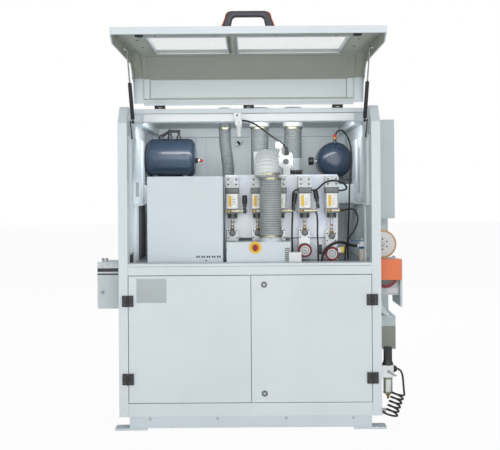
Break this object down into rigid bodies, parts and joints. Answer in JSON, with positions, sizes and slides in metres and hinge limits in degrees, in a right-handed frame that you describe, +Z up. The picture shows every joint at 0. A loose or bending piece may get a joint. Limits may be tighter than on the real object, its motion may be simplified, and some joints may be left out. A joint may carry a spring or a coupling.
{
  "type": "cross-cut saw",
  "caption": "Automatic cross-cut saw in a floor cabinet with an upward-opening windowed hood, lower doors, a row of press rollers over the table, dust hoses and air tanks.",
  "frame": {"origin": "middle of the floor anchors, on the floor", "axes": "+Z up, -Y towards the operator, boards run along -X"},
  "size_m": [1.7, 1.882, 2.153],
  "materials": {
    "cabinet_paint": "satin",
    "lining_paint": "satin",
    "base_paint": "satin",
    "pane": "clear",
    "black_plastic": "matt",
    "red_plastic": "matt",
    "white_plastic": "gloss",
    "orange_paint": "satin",
    "tank_paint": "satin",
    "hose_plastic": "translucent",
    "cable_rubber": "matt",
    "steel": "brushed",
    "plate_metal": "milled",
    "roller_tyre": "matt",
    "iron_paint": "painted",
    "belt_rubber": "matt",
    "switch_paint": "satin"
  },
  "bodies": {
    "cabinet": {"base_frame": "base_paint", "side_frame_left": "cabinet_paint", "side_frame_right": "cabinet_paint", "front_frame": "cabinet_paint", "back_panel": "cabinet_paint", "roof_panel": "cabinet_paint", "hinge_plates": "black_plastic", "saw_table": "plate_metal", "blade_hood": "switch_paint", "outfeed_cover": "cabinet_paint", "mounting_plate": "plate_metal", "clamp_cylinders": "plate_metal", "air_tanks": "tank_paint", "dust_hoses": "hose_plastic", "dust_manifold": "lining_paint", "work_lamp": "white_plastic", "air_valves": "white_plastic", "air_lines": "cable_rubber", "arm_pedestal": "iron_paint", "stroke_cylinder": "plate_metal", "infeed_frame": "lining_paint", "feed_guard": "orange_paint", "outfeed_table": "lining_paint", "air_regulator": "white_plastic", "coil_hose": "cable_rubber"},
    "lid": {"lid_skin": "cabinet_paint", "lid_lining": "lining_paint", "lid_windows": "pane", "lid_hinges": "steel", "lid_handle": "black_plastic"},
    "left_door": {"left_door": "cabinet_paint", "left_door_hinges": "black_plastic"},
    "right_door": {"right_door": "cabinet_paint", "right_door_hinges": "black_plastic"},
    "upper_lock": {"upper_lock": "steel"},
    "lower_lock": {"lower_lock": "steel"},
    "strut_cylinder_left": {"strut_cylinder_left": "black_plastic"},
    "strut_cylinder_right": {"strut_cylinder_right": "black_plastic"},
    "strut_rod_left": {"strut_rod_left": "steel"},
    "strut_rod_right": {"strut_rod_right": "steel"},
    "switch_knob": {"switch_knob": "red_plastic"},
    "valve_lever": {"valve_lever": "steel"},
    "saw_arm": {"saw_arm": "iron_paint", "drive_belt": "belt_rubber"},
    "blade": {"arbor": "steel", "saw_blade": "steel"},
    "motor_pulley": {"motor_pulley": "steel"},
    "stroke_rod": {"stroke_rod": "steel"},
    "measuring_wheel": {"measuring_wheel": "white_plastic"},
    "feed_wheel": {"feed_wheel": "roller_tyre"},
    "roller_slide_1": {"roller_slide_1": "steel"},
    "press_roller_1": {"press_roller_1": "roller_tyre"},
    "roller_slide_2": {"roller_slide_2": "steel"},
    "press_roller_2": {"press_roller_2": "roller_tyre"},
    "roller_slide_3": {"roller_slide_3": "steel"},
    "press_roller_3": {"press_roller_3": "roller_tyre"},
    "roller_slide_4": {"roller_slide_4": "steel"},
    "press_roller_4": {"press_roller_4": "roller_tyre"},
    "roller_slide_5": {"roller_slide_5": "steel"},
    "press_roller_5": {"press_roller_5": "roller_tyre"}
  },
  "joints": [
    {"name": "lid_hinge", "type": "hinge", "parent": "cabinet", "child": "lid", "pos_m": [0, -0.355, 1.783], "axis": [1, 0, 0], "range_deg": [0, 90], "stiffness_Nm_per_rad": 120, "springref_deg": -68.75},
    {"name": "left_door_hinge", "type": "hinge", "parent": "cabinet", "child": "left_door", "pos_m": [-0.66, -0.662, 0.489], "axis": [0, 0, -1], "range_deg": [0, 110]},
    {"name": "right_door_hinge", "type": "hinge", "parent": "cabinet", "child": "right_door", "pos_m": [0.66, -0.662, 0.489], "axis": [0, 0, 1], "range_deg": [0, 110]},
    {"name": "upper_lock_turn", "type": "hinge", "parent": "right_door", "child": "upper_lock", "pos_m": [0.076, -0.64, 0.784], "axis": [0, 1, 0], "range_deg": [0, 90]},
    {"name": "lower_lock_turn", "type": "hinge", "parent": "right_door", "child": "lower_lock", "pos_m": [0.076, -0.64, 0.196], "axis": [0, 1, 0], "range_deg": [0, 90]},
    {"name": "strut_left_pivot", "type": "hinge", "parent": "cabinet", "child": "strut_cylinder_left", "pos_m": [-0.634, -0.59, 1.672], "axis": [1, 0, 0], "range_deg": [0, 152]},
    {"name": "strut_left_stroke", "type": "slide", "parent": "strut_cylinder_left", "child": "strut_rod_left", "axis": [0, -0.5096, 0.8604], "range_m": [-0.098, 0]},
    {"name": "strut_right_pivot", "type": "hinge", "parent": "cabinet", "child": "strut_cylinder_right", "pos_m": [0.634, -0.59, 1.672], "axis": [1, 0, 0], "range_deg": [0, 152]},
    {"name": "strut_right_stroke", "type": "slide", "parent": "strut_cylinder_right", "child": "strut_rod_right", "axis": [0, -0.5096, 0.8604], "range_m": [-0.098, 0]},
    {"name": "switch_turn", "type": "hinge", "parent": "cabinet", "child": "switch_knob", "pos_m": [0.031, -0.555, 0.978], "axis": [0, 1, 0], "range_deg": [0, 90]},
    {"name": "valve_turn", "type": "hinge", "parent": "cabinet", "child": "valve_lever", "pos_m": [0.64, -0.4, 1], "axis": [0, 0, 1], "range_deg": [0, 90]},
    {"name": "saw_swing", "type": "hinge", "parent": "cabinet", "child": "saw_arm", "pos_m": [0.178, 0.25, 0.69], "axis": [-1, 0, 0], "range_deg": [0, 13.4]},
    {"name": "blade_spin", "type": "hinge", "parent": "saw_arm", "child": "blade", "pos_m": [0.11, -0.32, 0.6], "axis": [1, 0, 0], "continuous": true},
    {"name": "motor_spin", "type": "hinge", "parent": "saw_arm", "child": "motor_pulley", "pos_m": [0.278, 0.08, 0.56], "axis": [1, 0, 0], "continuous": true},
    {"name": "saw_stroke", "type": "slide", "parent": "cabinet", "child": "stroke_rod", "axis": [0, 0, 1], "range_m": [0, 0.09]},
    {"name": "press_stroke_1", "type": "slide", "parent": "cabinet", "child": "roller_slide_1", "axis": [0, 0, 1], "range_m": [-0.015, 0.05]},
    {"name": "press_roll_1", "type": "hinge", "parent": "roller_slide_1", "child": "press_roller_1", "pos_m": [-0.097, -0.372, 0.95], "axis": [0, 1, 0], "continuous": true},
    {"name": "press_stroke_2", "type": "slide", "parent": "cabinet", "child": "roller_slide_2", "axis": [0, 0, 1], "range_m": [-0.015, 0.05]},
    {"name": "press_roll_2", "type": "hinge", "parent": "roller_slide_2", "child": "press_roller_2", "pos_m": [0.047, -0.372, 0.95], "axis": [0, 1, 0], "continuous": true},
    {"name": "press_stroke_3", "type": "slide", "parent": "cabinet", "child": "roller_slide_3", "axis": [0, 0, 1], "range_m": [-0.015, 0.05]},
    {"name": "press_roll_3", "type": "hinge", "parent": "roller_slide_3", "child": "press_roller_3", "pos_m": [0.174, -0.372, 0.95], "axis": [0, 1, 0], "continuous": true},
    {"name": "press_stroke_4", "type": "slide", "parent": "cabinet", "child": "roller_slide_4", "axis": [0, 0, 1], "range_m": [-0.015, 0.05]},
    {"name": "press_roll_4", "type": "hinge", "parent": "roller_slide_4", "child": "press_roller_4", "pos_m": [0.316, -0.372, 0.95], "axis": [0, 1, 0], "continuous": true},
    {"name": "press_stroke_5", "type": "slide", "parent": "cabinet", "child": "roller_slide_5", "axis": [0, 0, 1], "range_m": [0, 0.065]},
    {"name": "press_roll_5", "type": "hinge", "parent": "roller_slide_5", "child": "press_roller_5", "pos_m": [0.47, -0.372, 0.93], "axis": [0, 1, 0], "continuous": true},
    {"name": "measuring_spin", "type": "hinge", "parent": "cabinet", "child": "measuring_wheel", "pos_m": [0.752, -0.417, 0.985], "axis": [0, 1, 0], "continuous": true},
    {"name": "feed_spin", "type": "hinge", "parent": "cabinet", "child": "feed_wheel", "pos_m": [0.752, -0.485, 0.818], "axis": [0, 1, 0], "continuous": true}
  ],
  "couplings": [
    {"joint": "motor_spin", "follows": "blade_spin", "ratio": 0.7143},
    {"joint": "saw_stroke", "follows": "saw_swing", "m_per_rad": 0.375},
    {"joint": "strut_left_pivot", "follows": "lid_hinge", "ratio": 1.682},
    {"joint": "strut_left_stroke", "follows": "lid_hinge", "m_per_rad": -0.0617},
    {"joint": "strut_right_pivot", "follows": "lid_hinge", "ratio": 1.682},
    {"joint": "strut_right_stroke", "follows": "lid_hinge", "m_per_rad": -0.0617}
  ]
}
